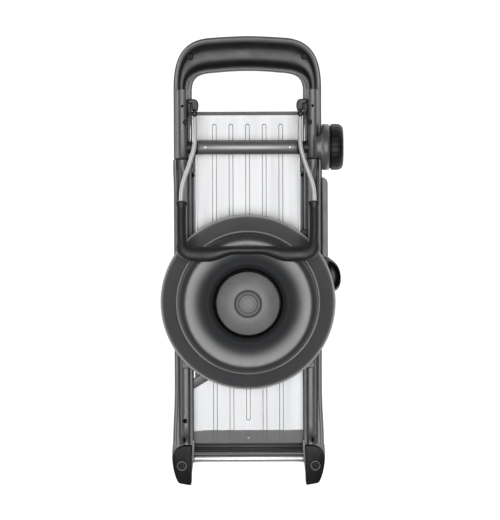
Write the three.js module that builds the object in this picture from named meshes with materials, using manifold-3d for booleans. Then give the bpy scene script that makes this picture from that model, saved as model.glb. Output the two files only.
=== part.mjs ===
// A kitchen mandoline slicer, lying face-down as it is stored, with its wire leg folded over the food holder.
// Millimetres. +Z is the underside, +Y is the handle end, +X is the side of the thickness dial.
import * as THREE from "three";
import { mergeVertices } from "three/addons/utils/BufferGeometryUtils.js";
import Module from "manifold-3d";

const wasm = await Module();
wasm.setup();

// ---------------------------------------------------------------- driving dimensions
const GAP = 0.3; // between neighbours that touch on the real slicer
const CENTRE_SHIFT = -3.68; // brings the middle of the overall width to X = 0
const HANDLE_END = 209.1;

const FRAME = { outer: 68.5, inner: 51.6, bottom: 4, shelf: 20, start: 94.8, gripStart: 160 };
const FRAME_SCREW = { x: 56.8, y: 129.2, well: 2.7, head: 2.3, bottom: 25.3, top: 28.8 };
const FRAME_HOLE = { x: 60.1, y: 144.2, radius: 1.3, bottom: 24 };
const BAR = { inner: 54.8, outer: 65.8, base: 20, top: 30 };
const GRIP = { top: 33, inset: 2.4, innerInset: 3.2 };
const GRIP_SCREW = { x: 52.4, y: 189.3, well: 3.1, head: 2.7, wellDepth: 4, headDrop: 1, headHeight: 2.7 };
const RAIL = { inner: 50.1, outer: 68.6, top: 24, ribX: 59.6, ribRadius: 6, from: -170.2, to: 94.5 };
const RUNWAY = { z: 6, thickness: 1, ribs: [-31, -15.5, 0, 15.5, 31], ribWidth: 4.1, ribHeight: 1 };
const INFEED = { half: 48, top: 136.6, lipDepth: 2.6, lipHeight: 4 };
const OUTFEED = { half: 49.8, end: -157.5, lipEnd: -170, lipHeight: 6 };
const BLADE = { angle: 30.8, centreY: -59.7, bedFrom: -25.1, bedTo: -16.9, edge: 13 };
const CASSETTE = { from: -16.6, to: 9, bottom: 7.3, top: 16, left: -49.6, right: 73.8, play: 0.7 };
const COMB = { near: 14.5, far: 18, thickness: 1.4, retractedTip: 7.6, pitch: 6, half: 46 };
const DIAL = { y: 106.2, z: 23, radius: 21.4, housingFrom: 68.9, knobFrom: 75.6, knobTo: 88.35 };
const SHAFT = { radius: 4, bore: 4.5, left: -53, right: 84.3 };
const TUBE = { radius: 6.55, half: 46 };
const CAM = { low: 6, high: 15, sweep: 288, from: 48.8, to: 49.8 };
const PIVOT = { y: 136.9, z: 36, pin: 2, eye: 4.5, eyeFrom: 47.2, eyeTo: 50.2, pinFrom: 46.2 };
const LEG = { wire: 2, sleeve: 4.25, barY: 12, barZ: 67.5, collarY: 57.9, steps: 44 };
const LOBE = { radius: 5.6, from: 31, to: 50, shift: -4, rise: 0.4 };
const BRACKET = { inner: 45.2, outer: 54.3, from: 139.6, to: 150.5, top: 31 };
const EAR = { inner: 51, from: 132, top: 40 };
const HOLDER = { y: -37, rim: 81, brimBottom: 30.4, crest: 61, skirt: 49.5, skirtBottom: 20, well: 31.2 };
const PLUNGER = { radius: 29, wall: 2, top: 58, platen: 42, platenZ: 27, platenTop: 29.3 };
const PRONG = { count: 8, circle: 18, radius: 0.9, tip: 19.9, plateRadius: 22, plateHeight: 1.2 };
const CAP = { radius: 8.3, height: 1 };
const SPRING = { radius: 36, wire: 0.8, turns: 2.5, bottom: 29.8, top: 46.8 };
const TAB = { inner: 56.5, outer: 61.7, from: -97.5, to: -94.4, bottom: 21.3, top: 26 };
const RECESS = { inner: 52, outer: 64, from: -100.2, to: -92.4, bottom: 21 };
const END_SLOT = { inner: 58.3, outer: 60.9, from: -168, to: -163.4, bottom: 26 };
const RAIL_HOLE = { x: 59, y: -147.3, radius: 2.1, bottom: 26 };
const GUIDE_ROD = { x: 49, z: 22, radius: 0.7, from: 28, to: 83 };
const FOOT = { from: -170.6, end: -209.1, inner: 52.4, outer: 71, height: 28 };
const FOOT_SCREW = { x: 62.2, y: -190.1, well: 4, head: 3.7, wellDepth: 3, headDrop: 0.8, headHeight: 1.9 };
const CROSSBAR = { from: -179.9, to: -170.3, bottom: 3, base: 8, top: 13 };
const ROD = { y: -184.8, z: 12, radius: 4 };

// ---------------------------------------------------------------- solids
// A geometry as a closed solid whose faces point outwards.
function solidFrom(geometry) {
  const flat = geometry.index ? geometry.toNonIndexed() : geometry;
  const bare = new THREE.BufferGeometry().setAttribute("position", flat.getAttribute("position"));
  const merged = mergeVertices(bare, 1e-4);
  const triVerts = new Uint32Array(merged.index.array);
  const vertProperties = new Float32Array(merged.attributes.position.array);
  const make = () => new wasm.Manifold(new wasm.Mesh({ numProp: 3, vertProperties, triVerts }));
  const solid = make();
  if (solid.volume() > 0) return solid;
  for (let i = 0; i < triVerts.length; i += 3) {
    [triVerts[i + 1], triVerts[i + 2]] = [triVerts[i + 2], triVerts[i + 1]];
  }
  return make();
}

const join = (...solids) => solids.reduce((sum, solid) => sum.add(solid));
const cut = (body, ...tools) => tools.reduce((rest, tool) => rest.subtract(tool), body);

function box(x, y, z) {
  const size = [x, y, z].map(([a, b]) => Math.abs(b - a));
  const middle = [x, y, z].map(([a, b]) => (a + b) / 2);
  return solidFrom(new THREE.BoxGeometry(...size).translate(...middle));
}

// A straight rod along one axis; "at" gives its centre line's two other coordinates in X, Y, Z order.
function rod(axis, radius, [from, to], at, sides = 20) {
  const geometry = new THREE.CylinderGeometry(radius, radius, Math.abs(to - from), sides);
  const middle = (from + to) / 2;
  if (axis === "x") return solidFrom(geometry.rotateZ(Math.PI / 2).translate(middle, at[0], at[1]));
  if (axis === "y") return solidFrom(geometry.translate(at[0], middle, at[1]));
  return solidFrom(geometry.rotateX(Math.PI / 2).translate(at[0], at[1], middle));
}

const shapeOf = (points) => new THREE.Shape(points.map(([x, y]) => new THREE.Vector2(x, y)));
const extruded = (shape, depth) => {
  return new THREE.ExtrudeGeometry(shape, { depth, bevelEnabled: false, curveSegments: 10 });
};

// Outline in X-Y, raised from z0 to z1.
const prismZ = (shape, z0, z1) => solidFrom(extruded(shape, z1 - z0).translate(0, 0, z0));

// Outline in X-Z, run along Y.
const prismY = (shape, y0, y1) => {
  return solidFrom(extruded(shape, y1 - y0).rotateX(Math.PI / 2).translate(0, y1, 0));
};

// Outline in Y-Z, run along X.
function prismX(shape, x0, x1) {
  const axes = [new THREE.Vector3(0, 1, 0), new THREE.Vector3(0, 0, 1), new THREE.Vector3(1, 0, 0)];
  const turn = new THREE.Matrix4().makeBasis(...axes);
  return solidFrom(extruded(shape, x1 - x0).applyMatrix4(turn).translate(x0, 0, 0));
}

// A closed (radius, height) profile turned about Z, or about X with height along X.
function turned(profile, sides, axis = "z") {
  const points = [...profile, profile[0]].map(([r, h]) => new THREE.Vector2(r, h));
  const geometry = new THREE.LatheGeometry(points, sides);
  return solidFrom(axis === "z" ? geometry.rotateX(Math.PI / 2) : geometry.rotateZ(-Math.PI / 2));
}

function circle(radius, sides) {
  const turns = Array.from({ length: sides }, (_, i) => (2 * Math.PI * i) / sides);
  return shapeOf(turns.map((a) => [radius * Math.cos(a), radius * Math.sin(a)]));
}

function tube(curve, radius, steps, sides) {
  const options = { steps, extrudePath: curve, bevelEnabled: false };
  return solidFrom(new THREE.ExtrudeGeometry(circle(radius, sides), options));
}

// ---------------------------------------------------------------- looks
const finish = (color, roughness, metalness = 0) => {
  return new THREE.MeshStandardMaterial({ color, roughness, metalness });
};
const LOOK = {
  plastic: finish(0x55565a, 0.45),
  darkPlastic: finish(0x2b2c2e, 0.5),
  rubber: finish(0x17181a, 0.75),
  steel: finish(0xe6e7e8, 0.3, 1),
  chrome: finish(0xc9cbce, 0.12, 1),
  tube: finish(0x9a9c9f, 0.35, 0.8),
  holder: finish(0x48494b, 0.4),
  knob: finish(0x77797b, 0.45),
};

// ---------------------------------------------------------------- assembly
const slicer = new THREE.Group();
slicer.position.x = CENTRE_SHIFT;
const groupAt = (x, y, z) => {
  const group = new THREE.Group();
  group.position.set(x, y, z);
  slicer.add(group);
  return group;
};
const dialGroup = groupAt(0, DIAL.y, DIAL.z);
const holderGroup = groupAt(0, HOLDER.y, 0);
const bladeGroup = groupAt(0, BLADE.centreY, 0);
bladeGroup.rotation.z = THREE.MathUtils.degToRad(BLADE.angle);

function add(name, solid, look, parent = slicer) {
  const { vertProperties, triVerts } = solid.getMesh();
  const geometry = new THREE.BufferGeometry();
  geometry.setAttribute("position", new THREE.BufferAttribute(new Float32Array(vertProperties), 3));
  geometry.setIndex(new THREE.BufferAttribute(new Uint32Array(triVerts), 1));
  geometry.computeVertexNormals();
  const mesh = new THREE.Mesh(geometry, look);
  mesh.name = name;
  parent.add(mesh);
}

// Calls make(side, name suffix) for the left (-1) and the right (+1) side.
const bothSides = (make) => [[-1, "left"], [1, "right"]].forEach(([side, word]) => make(side, word));

// The blade group's coordinates as a slanted box, in the slicer's own frame.
function slanted(along, across, z) {
  const flatBox = new THREE.BoxGeometry(along[1] - along[0], across[1] - across[0], z[1] - z[0]);
  flatBox.translate((along[0] + along[1]) / 2, (across[0] + across[1]) / 2, (z[0] + z[1]) / 2);
  flatBox.rotateZ(THREE.MathUtils.degToRad(BLADE.angle)).translate(0, BLADE.centreY, 0);
  return solidFrom(flatBox);
}

// ---------------------------------------------------------------- handle and upper frame
// The U outline of the handle, drawn as its right half and mirrored; insets shrink it evenly.
function archOutline(outerInset, innerInset, legEnd) {
  const outer = new THREE.Path();
  outer.moveTo(FRAME.outer - outerInset, legEnd);
  outer.lineTo(FRAME.outer - outerInset, 162);
  outer.bezierCurveTo(68.3 - outerInset, 189, 60, 207 - outerInset, 31.4, 207.7 - outerInset);
  outer.quadraticCurveTo(16, 208.9 - outerInset, 0, HANDLE_END - outerInset);
  const inner = new THREE.Path();
  inner.moveTo(FRAME.inner + innerInset, legEnd);
  inner.lineTo(FRAME.inner + innerInset, 159.6);
  inner.bezierCurveTo(50.9 + innerInset, 171, 46 + innerInset, 174.6 + innerInset, 30, 175.3 + innerInset);
  inner.quadraticCurveTo(15, 177 + innerInset, 0, 177 + innerInset);
  const mirrored = (points) => points.slice(0, -1).reverse().map((p) => new THREE.Vector2(-p.x, p.y));
  const outerPoints = outer.getPoints(10);
  const innerPoints = inner.getPoints(8);
  const innerLoop = [...innerPoints, ...mirrored(innerPoints)].reverse();
  return new THREE.Shape([...outerPoints, ...mirrored(outerPoints), ...innerLoop]);
}

// Half-round bar section standing on a flat base, in X-Z.
function domedSection(inner, outer, base, top, side) {
  const middle = (inner + outer) / 2;
  const half = (outer - inner) / 2;
  const arc = Array.from({ length: 11 }, (_, i) => {
    const a = (Math.PI * i) / 10;
    return [side * (middle + half * Math.cos(a)), base + (top - base) * Math.sin(a)];
  });
  return shapeOf(arc);
}

function addHandle() {
  let frame = prismZ(archOutline(0, 0, FRAME.start), FRAME.bottom, FRAME.shelf);
  bothSides((side) => {
    const bar = domedSection(BAR.inner, BAR.outer, BAR.base - 1, BAR.top, side);
    frame = join(frame, prismY(bar, FRAME.start, FRAME.gripStart));
  });
  const shaftHole = rod("x", SHAFT.bore, [SHAFT.left - 1, FRAME.outer + 1], [DIAL.y, DIAL.z]);
  frame = cut(frame, shaftHole);
  const above = BAR.top + 2;
  bothSides((side) => {
    const { x, y, radius, bottom } = FRAME_HOLE;
    const smallHole = rod("z", radius, [bottom, above], [side * x, y], 12);
    const screwAt = [side * FRAME_SCREW.x, FRAME_SCREW.y];
    const screwHole = rod("z", FRAME_SCREW.well, [FRAME_SCREW.bottom - GAP, above], screwAt);
    frame = cut(frame, smallHole, screwHole);
  });
  add("handle_frame", frame, LOOK.plastic);

  const outline = archOutline(GRIP.inset, GRIP.innerInset, FRAME.gripStart + GAP);
  let upper = prismZ(outline, FRAME.shelf + GAP, GRIP.top);
  const gripScrewAt = (side) => [side * GRIP_SCREW.x, GRIP_SCREW.y];
  bothSides((side) => {
    const wellSpan = [GRIP.top - GRIP_SCREW.wellDepth, GRIP.top + 1];
    upper = cut(upper, rod("z", GRIP_SCREW.well, wellSpan, gripScrewAt(side)));
  });
  add("handle_grip_underside", upper, LOOK.rubber);
  add("handle_grip_food_side", prismZ(outline, 0, FRAME.bottom - GAP), LOOK.rubber);
  bothSides((side, word) => {
    const headTop = GRIP.top - GRIP_SCREW.headDrop;
    const headSpan = [headTop - GRIP_SCREW.headHeight, headTop];
    add(`grip_screw_${word}`, rod("z", GRIP_SCREW.head, headSpan, gripScrewAt(side)), LOOK.darkPlastic);
    const { head, bottom, top, x, y } = FRAME_SCREW;
    add(`rail_screw_${word}`, rod("z", head, [bottom, top], [side * x, y]), LOOK.darkPlastic);
  });
}

// ---------------------------------------------------------------- side rails, feet and end bars
function addRail(side, word) {
  const span = [side * RAIL.inner, side * RAIL.outer];
  const ribSides = [RAIL.ribX - RAIL.ribRadius, RAIL.ribX + RAIL.ribRadius];
  const rib = domedSection(...ribSides, RAIL.top - 1, BAR.top, side);
  let rail = join(box(span, [RAIL.from, RAIL.to], [0, RAIL.top]), prismY(rib, RAIL.from, RAIL.to));
  const above = BAR.top + 2;
  const sideBox = ({ inner, outer, from, to, bottom }, top) =>
    box([side * inner, side * outer], [from, to], [bottom, top]);
  rail = cut(rail, sideBox(RECESS, above), sideBox(END_SLOT, above));
  if (side < 0) {
    const { x, y, radius, bottom } = RAIL_HOLE;
    rail = cut(rail, rod("z", radius, [bottom, above], [side * x, y], 16));
  }
  if (side > 0) {
    const exitEnds = [RAIL.inner - 10, RAIL.outer + 40];
    const exitAcross = [CASSETTE.from - CASSETTE.play, BLADE.edge + CASSETTE.play];
    const exitHeights = [RUNWAY.z - CASSETTE.play, CASSETTE.top + CASSETTE.play];
    rail = cut(rail, slanted(exitEnds, exitAcross, exitHeights));
  }
  add(`side_rail_${word}`, rail, LOOK.plastic);
  add(`rail_tab_${word}`, sideBox(TAB, TAB.top), LOOK.tube);
  const { x, z, radius, from, to } = GUIDE_ROD;
  add(`guide_rod_${word}`, rod("y", radius, [from, to], [side * x, z], 10), LOOK.chrome);
}

function addFoot(side, word) {
  const outline = new THREE.Shape();
  outline.moveTo(side * FOOT.inner, FOOT.from);
  outline.lineTo(side * 58, FOOT.from);
  outline.bezierCurveTo(side * 64, FOOT.from, side * FOOT.outer, -174, side * FOOT.outer, -184);
  outline.bezierCurveTo(side * FOOT.outer, -192, side * 68.6, -201, side * 66.4, -205.4);
  outline.quadraticCurveTo(side * 65.4, -207.2, side * 63, -207.6);
  outline.lineTo(side * 55, FOOT.end);
  outline.quadraticCurveTo(side * 53.6, FOOT.end, side * 53.4, -207.6);
  const { x, y, well, head, wellDepth, headDrop, headHeight } = FOOT_SCREW;
  const screwWell = rod("z", well, [FOOT.height - wellDepth, FOOT.height + 1], [side * x, y]);
  add(`foot_${word}`, cut(prismZ(outline, 0, FOOT.height), screwWell), LOOK.rubber);
  const headTop = FOOT.height - headDrop;
  const screw = rod("z", head, [headTop - headHeight, headTop], [side * x, y]);
  add(`foot_screw_${word}`, screw, LOOK.darkPlastic);
}

function addEndBars() {
  const half = FOOT.inner - GAP;
  add("foot_rod", rod("x", ROD.radius, [-half, half], [ROD.y, ROD.z]), LOOK.chrome);
  const { from, to, bottom, base, top } = CROSSBAR;
  const section = domedSection(from, to, base, top, 1);
  const barHalf = RAIL.inner - GAP;
  const lower = box([-barHalf, barHalf], [from, to], [bottom, base + 0.5]);
  add("end_crossbar", join(prismX(section, -barHalf, barHalf), lower), LOOK.darkPlastic);
}

// ---------------------------------------------------------------- runway plates and blade bed
// Sheet section in X-Z with a raised rib at each rib line on the food side.
function ribbedSection(half) {
  const { z, thickness, ribs, ribWidth, ribHeight } = RUNWAY;
  const bumps = ribs.flatMap((x) => [
    [x - ribWidth / 2, 0],
    [x - ribWidth / 4, ribHeight],
    [x + ribWidth / 4, ribHeight],
    [x + ribWidth / 2, 0],
  ]);
  const lower = [[-half, 0], ...bumps, [half, 0]].map(([x, rise]) => [x, z - rise]);
  const upper = lower.map(([x, low]) => [x, low + thickness]).reverse();
  return shapeOf([...lower, ...upper]);
}

function addRunways() {
  const { z, thickness } = RUNWAY;
  const far = 400;
  const flat = prismY(ribbedSection(OUTFEED.half), OUTFEED.end, 0);
  const lip = prismX(
    shapeOf([
      [OUTFEED.end + 0.5, z],
      [OUTFEED.lipEnd, z + OUTFEED.lipHeight],
      [OUTFEED.lipEnd, z + OUTFEED.lipHeight + thickness],
      [OUTFEED.end + 0.5, z + thickness],
    ]),
    -OUTFEED.half,
    OUTFEED.half,
  );
  const beyondBed = slanted([-far, far], [BLADE.bedFrom - GAP, far], [0, 30]);
  add("outfeed_runway", cut(join(flat, lip), beyondBed), LOOK.steel);

  const sheet = prismY(ribbedSection(INFEED.half), BLADE.centreY - 40, INFEED.top);
  const width = [-INFEED.half, INFEED.half];
  const wallEnd = INFEED.top + INFEED.lipDepth;
  const rim = box(width, [INFEED.top - 1, wallEnd], [z, z + thickness]);
  const wall = box(width, [wallEnd - thickness, wallEnd], [z, z + INFEED.lipHeight]);
  const beyondGap = slanted([-far, far], [-far, COMB.far + 1.5], [0, 30]);
  add("infeed_runway", cut(join(sheet, rim, wall), beyondGap), LOOK.steel);
  bothSides((side, word) => {
    const carrier = box([side * 48.3, side * 51.2], [96, 135], [z - 1, z + thickness]);
    add(`infeed_carrier_${word}`, carrier, LOOK.darkPlastic);
  });

  const bedBeam = slanted([-80, 80], [BLADE.bedFrom, BLADE.bedTo], [RUNWAY.z, 15]);
  const between = box([-OUTFEED.half, OUTFEED.half], [-200, 100], [0, 30]);
  add("blade_bed", bedBeam.intersect(between), LOOK.plastic);
}

// ---------------------------------------------------------------- blade cassette and julienne comb
// Everything in the blade group is drawn with X along the blade and Y towards its edge.
function addCassette() {
  const slope = Math.tan(THREE.MathUtils.degToRad(BLADE.angle));
  const cosine = Math.cos(THREE.MathUtils.degToRad(BLADE.angle));
  // Along-blade place of a point "across" from the middle line on the plane X = x of the slicer.
  const alongAt = (x, across) => x / cosine + across * slope;
  const slantedEnds = (from, to, left, right) =>
    shapeOf([
      [alongAt(left, from), from],
      [alongAt(right, from), from],
      [alongAt(right, to), to],
      [alongAt(left, to), to],
    ]);
  const { from, to, bottom, top, left, right } = CASSETTE;
  const body = prismZ(slantedEnds(from, to, left, right), bottom, top);
  add("cassette_body", body, LOOK.darkPlastic, bladeGroup);

  const bladeEnds = slantedEnds(-8, BLADE.edge - 2, left, 67);
  const flat = prismZ(bladeEnds, RUNWAY.z, RUNWAY.z + RUNWAY.thickness);
  const edge = prismZ(slantedEnds(BLADE.edge - 2.5, BLADE.edge, left, 67), RUNWAY.z, RUNWAY.z + 0.5);
  add("slicing_blade", join(flat, edge), LOOK.steel, bladeGroup);

  const { near, far, thickness, retractedTip, pitch, half } = COMB;
  const combBar = box([-half, half], [near + thickness + GAP, far], [12, 17]);
  add("julienne_bar", combBar, LOOK.darkPlastic, bladeGroup);
  let comb = box([-half, half], [near, near + thickness], [13, 16]);
  for (let x = -half + pitch / 2; x < half; x += pitch) {
    comb = join(comb, box([x - 1, x + 1], [near, near + thickness], [retractedTip, 14]));
  }
  add("julienne_teeth", comb, LOOK.steel, bladeGroup);
}

function addCassetteGrip() {
  const outline = new THREE.Shape();
  outline.moveTo(74.3, 3);
  outline.bezierCurveTo(83, 0.5, 86.3, -8, 86.3, -15.5);
  outline.bezierCurveTo(86.3, -22, 84.5, -27.6, 78, -27.8);
  outline.lineTo(74.3, -27.8);
  add("cassette_grip", prismZ(outline, 4, 26), LOOK.rubber);
}

function addJulienneSelector() {
  const outline = new THREE.Shape();
  outline.moveTo(68.9, 4.2);
  outline.lineTo(74.2, 4.2);
  outline.lineTo(74.2, 72);
  outline.quadraticCurveTo(74.2, 78.1, 69.5, 78.1);
  outline.lineTo(68.9, 78.1);
  add("julienne_selector", prismZ(outline, 6, 27), LOOK.plastic);
}

// ---------------------------------------------------------------- thickness dial
// Dial pieces are drawn about the dial's own axis.
function camOutline() {
  const steps = 28;
  const rim = Array.from({ length: steps + 1 }, (_, i) => {
    const share = i / steps;
    const angle = THREE.MathUtils.degToRad(CAM.sweep * share);
    const radius = CAM.high + (CAM.low - CAM.high) * share;
    return [-radius * Math.sin(angle), -radius * Math.cos(angle)];
  });
  const last = THREE.MathUtils.degToRad((CAM.sweep + 360) / 2);
  return shapeOf([...rim, [-CAM.low * Math.sin(last), -CAM.low * Math.cos(last)], [0, -CAM.low]]);
}

function addDial() {
  const { radius, housingFrom, knobFrom, knobTo } = DIAL;
  const bore = rod("x", SHAFT.bore, [-100, 100], [0, 0]);
  const hub = turned([[0, housingFrom], [16, housingFrom], [20.5, 72], [radius, 75.2], [0, 75.2]], 40, "x");
  const saddleBlock = rod("x", 20.6, [60.4, 69.5], [0, 0], 40);
  const aboveRail = box([50, 80], [-30, 30], [BAR.top + GAP - DIAL.z, 40]);
  const housing = join(hub, saddleBlock.intersect(aboveRail));
  add("dial_housing", cut(housing, bore), LOOK.plastic, dialGroup);

  const profile = [
    [0, knobFrom], [20, knobFrom], [radius, knobFrom + 1.8], [radius - 0.3, knobTo - 4.3],
    [18.6, knobTo], [0, knobTo],
  ];
  const socket = rod("x", SHAFT.radius + GAP, [knobFrom - 1, SHAFT.right + GAP], [0, 0]);
  add("dial_knob", cut(turned(profile, 40, "x"), socket), LOOK.rubber, dialGroup);
  add("dial_shaft", rod("x", SHAFT.radius, [SHAFT.left, SHAFT.right], [0, 0]), LOOK.chrome, dialGroup);

  const tubeBody = rod("x", TUBE.radius, [-TUBE.half, TUBE.half], [0, 0], 32);
  add("cross_tube", cut(tubeBody, bore), LOOK.tube, dialGroup);
  bothSides((side, word) => {
    const collar = rod("x", 7, [side * (TUBE.half + GAP), side * 48.4], [0, 0], 28);
    add(`tube_collar_${word}`, cut(collar, bore), LOOK.darkPlastic, dialGroup);
    const span = [side * CAM.from, side * CAM.to].sort((a, b) => a - b);
    const cam = cut(prismX(camOutline(), ...span), rod("x", SHAFT.radius + GAP, [-100, 100], [0, 0]));
    add(`lift_cam_${word}`, cam, LOOK.darkPlastic, dialGroup);
  });
}

// ---------------------------------------------------------------- folding leg
// Right half of the leg's centre line from its eye to the middle of its crossbar, as [x, y].
const LEG_HALF = [
  [48.7, 133.5], [48.6, 120], [49, 107.5], [50.8, 98], [54, 87.3], [57.6, 76.6], [59.6, 66],
  [60, 52], [59.9, 29], [58.8, 19], [54, 13.6], [45, LEG.barY], [24, LEG.barY], [0, LEG.barY],
];

// The leg lies in one plane that climbs from the pivot to the crossbar.
function legCurve() {
  const climb = (LEG.barZ - PIVOT.z) / (PIVOT.y - LEG.barY);
  const at = (side) => ([x, y]) => new THREE.Vector3(side * x, y, PIVOT.z + (PIVOT.y - y) * climb);
  const left = LEG_HALF.map(at(-1));
  const right = LEG_HALF.slice(0, -1).reverse().map(at(1));
  return new THREE.CatmullRomCurve3([...left, ...right], false, "centripetal");
}

function addLeg() {
  const curve = legCurve();
  let wire = tube(curve, LEG.wire, LEG.steps, 8);
  bothSides((side) => {
    const span = [side * PIVOT.eyeFrom, side * PIVOT.eyeTo];
    const eye = rod("x", PIVOT.eye, span, [PIVOT.y, PIVOT.z], 24);
    wire = join(wire, eye);
  });
  const pinHole = rod("x", PIVOT.pin + GAP, [-60, 60], [PIVOT.y, PIVOT.z]);
  add("leg_wire", cut(wire, pinHole), LOOK.chrome);

  const covered = box([-90, 90], [-20, LEG.collarY], [0, 100]);
  let sleeve = tube(curve, LEG.sleeve, LEG.steps, 10).intersect(covered);
  bothSides((side) => {
    const lobeAt = [LEG.barY + LOBE.shift, LEG.barZ + LOBE.rise];
    sleeve = join(sleeve, rod("x", LOBE.radius, [side * LOBE.from, side * LOBE.to], lobeAt, 16));
  });
  add("leg_sleeve", cut(sleeve, tube(curve, LEG.wire + GAP, LEG.steps, 8)), LOOK.rubber);

  bothSides((side, word) => {
    const { inner, outer, from, to, top } = BRACKET;
    const low = BAR.base + GAP;
    const block = box([side * inner, side * outer], [from, to], [low, top]);
    const earPlate = box([side * EAR.inner, side * outer], [EAR.from, to], [low, EAR.top]);
    add(`leg_bracket_${word}`, cut(join(block, earPlate), pinHole), LOOK.plastic);
    const pin = rod("x", PIVOT.pin, [side * PIVOT.pinFrom, side * outer], [PIVOT.y, PIVOT.z]);
    add(`leg_pin_${word}`, pin, LOOK.chrome);
  });
}

// ---------------------------------------------------------------- food holder
// Holder pieces are drawn about the holder's own axis.
function addHolder() {
  const { rim, brimBottom, crest, skirt, skirtBottom, well } = HOLDER;
  const outside = [
    [rim, brimBottom], [rim, 32], [79.6, 33], [67.4, 36], [66.4, 37], [65.9, 54], [64.2, 57.6],
    [60.4, 60.2], [56, crest], [51.8, 60], [48, 57], [42, 52.4], [36.4, 49.4], [well, 47.4],
  ];
  const inside = [
    [well, 45.6], [37, 47.8], [42, 50.4], [48, 55], [53, 58.4], [59, 57.8], [63.2, 53], [64, 42],
    [64, brimBottom + 2], [skirt - 2, brimBottom + 2], [skirt - 2, skirtBottom],
    [skirt, skirtBottom], [skirt, brimBottom],
  ];
  add("holder_shell", turned([...outside, ...inside], 40), LOOK.holder, holderGroup);

  const { radius, wall, top, platen, platenZ, platenTop } = PLUNGER;
  const cup = [
    [0, top], [13.4, top - 0.2], [25, top - 1.2], [radius, top - 4.5], [radius, platenTop + GAP],
    [radius - wall, platenTop + GAP], [radius - wall, top - 6], [0, top - 3.5],
  ];
  add("plunger_knob", turned(cup, 32), LOOK.knob, holderGroup);
  const bossRadius = radius - wall - GAP;
  const disc = [
    [0, platenZ], [platen, platenZ], [platen, platenTop],
    [bossRadius, platenTop], [bossRadius, platenTop + 3], [0, platenTop + 3],
  ];
  add("plunger_platen", turned(disc, 32), LOOK.darkPlastic, holderGroup);
  const capBottom = top + GAP;
  const cap = rod("z", CAP.radius, [capBottom, capBottom + CAP.height], [0, 0], 28);
  add("plunger_cap", cap, LOOK.knob, holderGroup);

  const plateTop = platenZ - GAP;
  let prongs = rod("z", PRONG.plateRadius, [plateTop - PRONG.plateHeight, plateTop], [0, 0], 32);
  for (let i = 0; i < PRONG.count; i += 1) {
    const angle = (2 * Math.PI * i) / PRONG.count;
    const at = [PRONG.circle * Math.cos(angle), PRONG.circle * Math.sin(angle)];
    prongs = join(prongs, rod("z", PRONG.radius, [PRONG.tip, plateTop - 0.5], at, 8));
  }
  add("prong_plate", prongs, LOOK.steel, holderGroup);
  add("plunger_spring", tube(new SpringCurve(), SPRING.wire, 36, 5), LOOK.chrome, holderGroup);
}

class SpringCurve extends THREE.Curve {
  getPoint(share, target = new THREE.Vector3()) {
    const angle = 2 * Math.PI * SPRING.turns * share;
    const low = SPRING.bottom + SPRING.wire;
    const height = low + (SPRING.top - SPRING.wire - low) * share;
    return target.set(SPRING.radius * Math.cos(angle), SPRING.radius * Math.sin(angle), height);
  }
}

addHandle();
bothSides(addRail);
bothSides(addFoot);
addEndBars();
addRunways();
addCassette();
addCassetteGrip();
addJulienneSelector();
addDial();
addLeg();
addHolder();

export default slicer;
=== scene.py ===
import math
import bmesh
import bpy
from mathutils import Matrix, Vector


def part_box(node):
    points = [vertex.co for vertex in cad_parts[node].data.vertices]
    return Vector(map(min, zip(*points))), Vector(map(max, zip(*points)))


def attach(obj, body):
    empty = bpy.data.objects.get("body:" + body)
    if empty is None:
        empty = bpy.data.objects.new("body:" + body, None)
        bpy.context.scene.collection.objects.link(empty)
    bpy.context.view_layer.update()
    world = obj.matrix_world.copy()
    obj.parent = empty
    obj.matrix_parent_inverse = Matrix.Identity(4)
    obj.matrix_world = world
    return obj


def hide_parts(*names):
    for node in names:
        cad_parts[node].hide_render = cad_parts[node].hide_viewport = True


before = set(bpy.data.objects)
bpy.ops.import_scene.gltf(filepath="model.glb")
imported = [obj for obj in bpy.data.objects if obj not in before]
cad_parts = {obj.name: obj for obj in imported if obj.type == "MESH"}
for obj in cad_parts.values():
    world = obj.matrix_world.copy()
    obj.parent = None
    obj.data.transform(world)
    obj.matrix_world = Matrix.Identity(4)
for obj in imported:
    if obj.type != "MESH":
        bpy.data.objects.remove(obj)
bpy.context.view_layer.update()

# ---------------------------------------------------------------- places, read from the frame
MM = 0.001


def corners(node):
    """A CAD node's lowest and highest corner in millimetres."""
    low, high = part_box(node)
    return low / MM, high / MM


def middle(node):
    low, high = corners(node)
    return (low + high) / 2


SYM_X = middle("foot_rod").x  # the frame's plane of symmetry
HOLDER = middle("holder_shell")
DIAL = middle("dial_knob")
DIAL_X = corners("dial_knob")[1].x - SYM_X
TUBE = middle("cross_tube")
PIVOT = middle("leg_pin_left")
RAIL_FROM = corners("side_rail_left")[0].y
RAIL_TO = corners("side_rail_left")[1].y
RAIL_TOP = corners("side_rail_left")[1].z
FRAME_FROM = corners("handle_frame")[0].y
HANDLE_END = corners("handle_frame")[1].y
SHEET_Z = corners("slicing_blade")[0].z
BLADE_ANGLE = math.radians(30.8)
BLADE_Y = -59.7  # where the blade's middle line crosses the plane of symmetry

# Places (x, y) in millimetres, x counted from the plane of symmetry. These four are on both sides.
GRIP_SCREW_AT = (52.4, 189.3)
RAIL_SCREW_AT = (56.8, 129.2)
FOOT_SCREW_AT = (62.2, -190.1)
FRAME_HOLE_AT = (60.1, 144.2)
# These two are on one side only.
LEFT_RAIL_HOLE_AT = (-59, -147.3)
BOSS_AT = (52.6, 27.4)

# Measured across the blade: the cassette's way out through the right rail, and where the two sheets stop.
EXIT_ACROSS = (-17.2, 13.8)
INFEED_EDGE = 19.5
OUTFEED_EDGE = -25.4

# Added to each side's half width, so that no gap shows beside the rails.
TO_RAIL = 1.2
BED_TO_RAIL = 1.6


def at(x, y, z):
    """A point in the frame from millimetres, with x counted from the plane of symmetry."""
    return Vector(((x + SYM_X) * MM, y * MM, z * MM))


def mirrored(side, place):
    """The place on that side of the plane of symmetry."""
    return side * place[0], place[1]


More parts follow.
